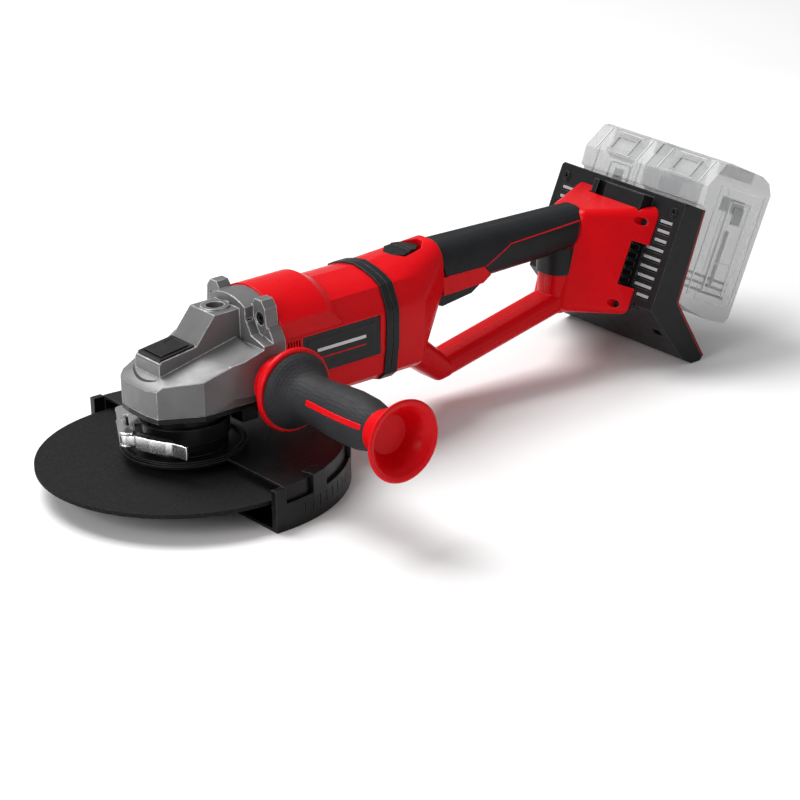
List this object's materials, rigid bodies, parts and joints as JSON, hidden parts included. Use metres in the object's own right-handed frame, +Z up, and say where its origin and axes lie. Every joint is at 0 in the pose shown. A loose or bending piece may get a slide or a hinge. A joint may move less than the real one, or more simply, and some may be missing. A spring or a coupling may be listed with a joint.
{
  "type": "angle grinder",
  "caption": "Cordless cutting grinder: bevel-gear head with guarded cutting disc, side handle, swivelling D-handle with trigger, and a leaning rear plate that carries sliding battery packs.",
  "frame": {"origin": "on the floor under the middle of the tool as it stands, with the side handle fitted on the left", "axes": "+X from the disc towards the batteries, +Y towards the right side (away from the side handle), +Z up along the spindle"},
  "size_m": [0.6509, 0.327, 0.1617],
  "materials": {
    "case_alloy": "cast, matt silver-grey lacquer",
    "blackened_steel": "black satin coating",
    "bright_steel": "ground",
    "lever_chrome": "polished",
    "abrasive": "bonded grit",
    "red_plastic": "satin, fine moulded grain",
    "black_plastic": "satin",
    "panel_plastic": "fine moulded grain",
    "soft_grip": "matt, fine texture",
    "laminations": "stacked steel sheet",
    "winding": "varnished copper wire",
    "circuit_board": "potted board",
    "lead_sheath": "insulated wire",
    "badge": "inlaid plate",
    "pack_clear": "pale translucent plastic"
  },
  "bodies": {
    "head": {"gear_case": "case_alloy", "lock_button_frame": "black_plastic", "bearing_flange": "blackened_steel", "flange_screws": "bright_steel", "spindle_bearing": "bright_steel", "spindle_bush": "bright_steel", "rotor_bearing_front": "bright_steel", "rotor_bearing_rear": "bright_steel", "gear_case_screws": "blackened_steel", "motor_housing": "red_plastic", "side_badges": "badge", "stator": "winding", "swivel_ring": "bright_steel", "swivel_band_front": "panel_plastic"},
    "spindle": {"spindle": "bright_steel", "crown_gear": "bright_steel", "disc_flange": "bright_steel", "cutting_disc": "abrasive"},
    "quick_nut": {"quick_nut_core": "blackened_steel"},
    "quick_nut_ring": {"quick_nut_ring": "blackened_steel"},
    "rotor": {"rotor_shaft": "bright_steel", "pinion": "bright_steel", "rotor_core": "laminations", "cooling_fan": "black_plastic"},
    "lock": {"lock_button": "black_plastic", "lock_pin": "bright_steel", "lock_spring": "bright_steel"},
    "guard": {"guard_hood": "blackened_steel", "guard_clamp_band": "blackened_steel", "cutting_cover": "black_plastic", "clamp_bracket": "lever_chrome"},
    "clamp_lever": {"clamp_lever": "lever_chrome"},
    "side_handle": {"side_handle_stud": "bright_steel", "side_handle_core": "red_plastic", "side_handle_grip": "soft_grip", "side_handle_inlay": "red_plastic", "side_handle_cup": "red_plastic"},
    "rear_handle": {"swivel_band_rear": "panel_plastic", "handle_shell_left": "red_plastic", "handle_shell_right": "red_plastic", "grip_rubber": "soft_grip", "grip_panels": "panel_plastic", "handle_screws": "blackened_steel", "switch_module": "black_plastic", "controller": "circuit_board", "battery_leads": "lead_sheath", "vent_louvres": "black_plastic", "battery_plate": "panel_plastic", "plate_trim": "red_plastic", "plate_screws": "blackened_steel", "pack_rails": "black_plastic", "trigger_pin": "bright_steel"},
    "swivel_button": {"swivel_button": "black_plastic"},
    "trigger": {"trigger": "black_plastic", "trigger_spring": "bright_steel"},
    "lock_off_button": {"lock_off_button": "black_plastic"},
    "pack_left": {"pack_left": "pack_clear"},
    "pack_right": {"pack_right": "pack_clear"},
    "pack_latches_left": {"pack_latches_left": "pack_clear"},
    "pack_latches_right": {"pack_latches_right": "pack_clear"}
  },
  "joints": [
    {"name": "spindle_spin", "type": "hinge", "parent": "head", "child": "spindle", "pos_m": [-0.211, 0.0395, 0.043], "axis": [0, 0, 1], "continuous": true},
    {"name": "rotor_spin", "type": "hinge", "parent": "head", "child": "rotor", "pos_m": [-0.121, 0.0395, 0.091], "axis": [1, 0, 0], "continuous": true},
    {"name": "quick_nut_unscrew", "type": "slide", "parent": "spindle", "child": "quick_nut", "axis": [0, 0, -1], "range_m": [0, 0.008]},
    {"name": "quick_nut_ring_turn", "type": "hinge", "parent": "quick_nut", "child": "quick_nut_ring", "pos_m": [-0.211, 0.0395, 0.014], "axis": [0, 0, 1], "continuous": true},
    {"name": "lock_press", "type": "slide", "parent": "head", "child": "lock", "axis": [0, 0, -1], "range_m": [0, 0.0035], "stiffness_N_per_m": 800, "springref_m": -0.004, "deforming": ["lock_spring"]},
    {"name": "guard_turn", "type": "hinge", "parent": "head", "child": "guard", "pos_m": [-0.211, 0.0395, 0.043], "axis": [0, 0, 1], "range_deg": [-55, 55]},
    {"name": "clamp_open", "type": "hinge", "parent": "guard", "child": "clamp_lever", "pos_m": [-0.261, 0.0415, 0.049], "axis": [0, 0, -1], "range_deg": [0, 100]},
    {"name": "side_handle_unscrew", "type": "slide", "parent": "head", "child": "side_handle", "axis": [0, -1, 0], "range_m": [0, 0.02]},
    {"name": "handle_swivel", "type": "hinge", "parent": "head", "child": "rear_handle", "pos_m": [-0.041, 0.0395, 0.091], "axis": [1, 0, 0], "range_deg": [-90, 90]},
    {"name": "swivel_button_press", "type": "slide", "parent": "rear_handle", "child": "swivel_button", "axis": [1, 0, 0], "range_m": [0, 0.004], "stiffness_N_per_m": 600, "springref_m": -0.004},
    {"name": "trigger_pull", "type": "hinge", "parent": "rear_handle", "child": "trigger", "pos_m": [0.105, 0.0395, 0.107], "axis": [0, 1, 0], "range_deg": [0, 4.5], "stiffness_Nm_per_rad": 2, "springref_deg": -8.59, "deforming": ["trigger_spring"]},
    {"name": "lock_off_press", "type": "slide", "parent": "rear_handle", "child": "lock_off_button", "axis": [-1, 0, 0], "range_m": [0, 0.003], "stiffness_N_per_m": 600, "springref_m": -0.004},
    {"name": "pack_left_slide", "type": "slide", "parent": "rear_handle", "child": "pack_left", "axis": [0.4226, 0, 0.9063], "range_m": [0, 0.06]},
    {"name": "pack_right_slide", "type": "slide", "parent": "rear_handle", "child": "pack_right", "axis": [0.4226, 0, 0.9063], "range_m": [0, 0.06]},
    {"name": "pack_left_latch_press", "type": "slide", "parent": "pack_left", "child": "pack_latches_left", "axis": [0.5534, 0, -0.8329], "range_m": [0, 0.003], "stiffness_N_per_m": 500, "springref_m": -0.004},
    {"name": "pack_right_latch_press", "type": "slide", "parent": "pack_right", "child": "pack_latches_right", "axis": [0.5534, 0, -0.8329], "range_m": [0, 0.003], "stiffness_N_per_m": 500, "springref_m": -0.004}
  ],
  "couplings": [
    {"joint": "rotor_spin", "follows": "spindle_spin", "ratio": 3.6}
  ]
}
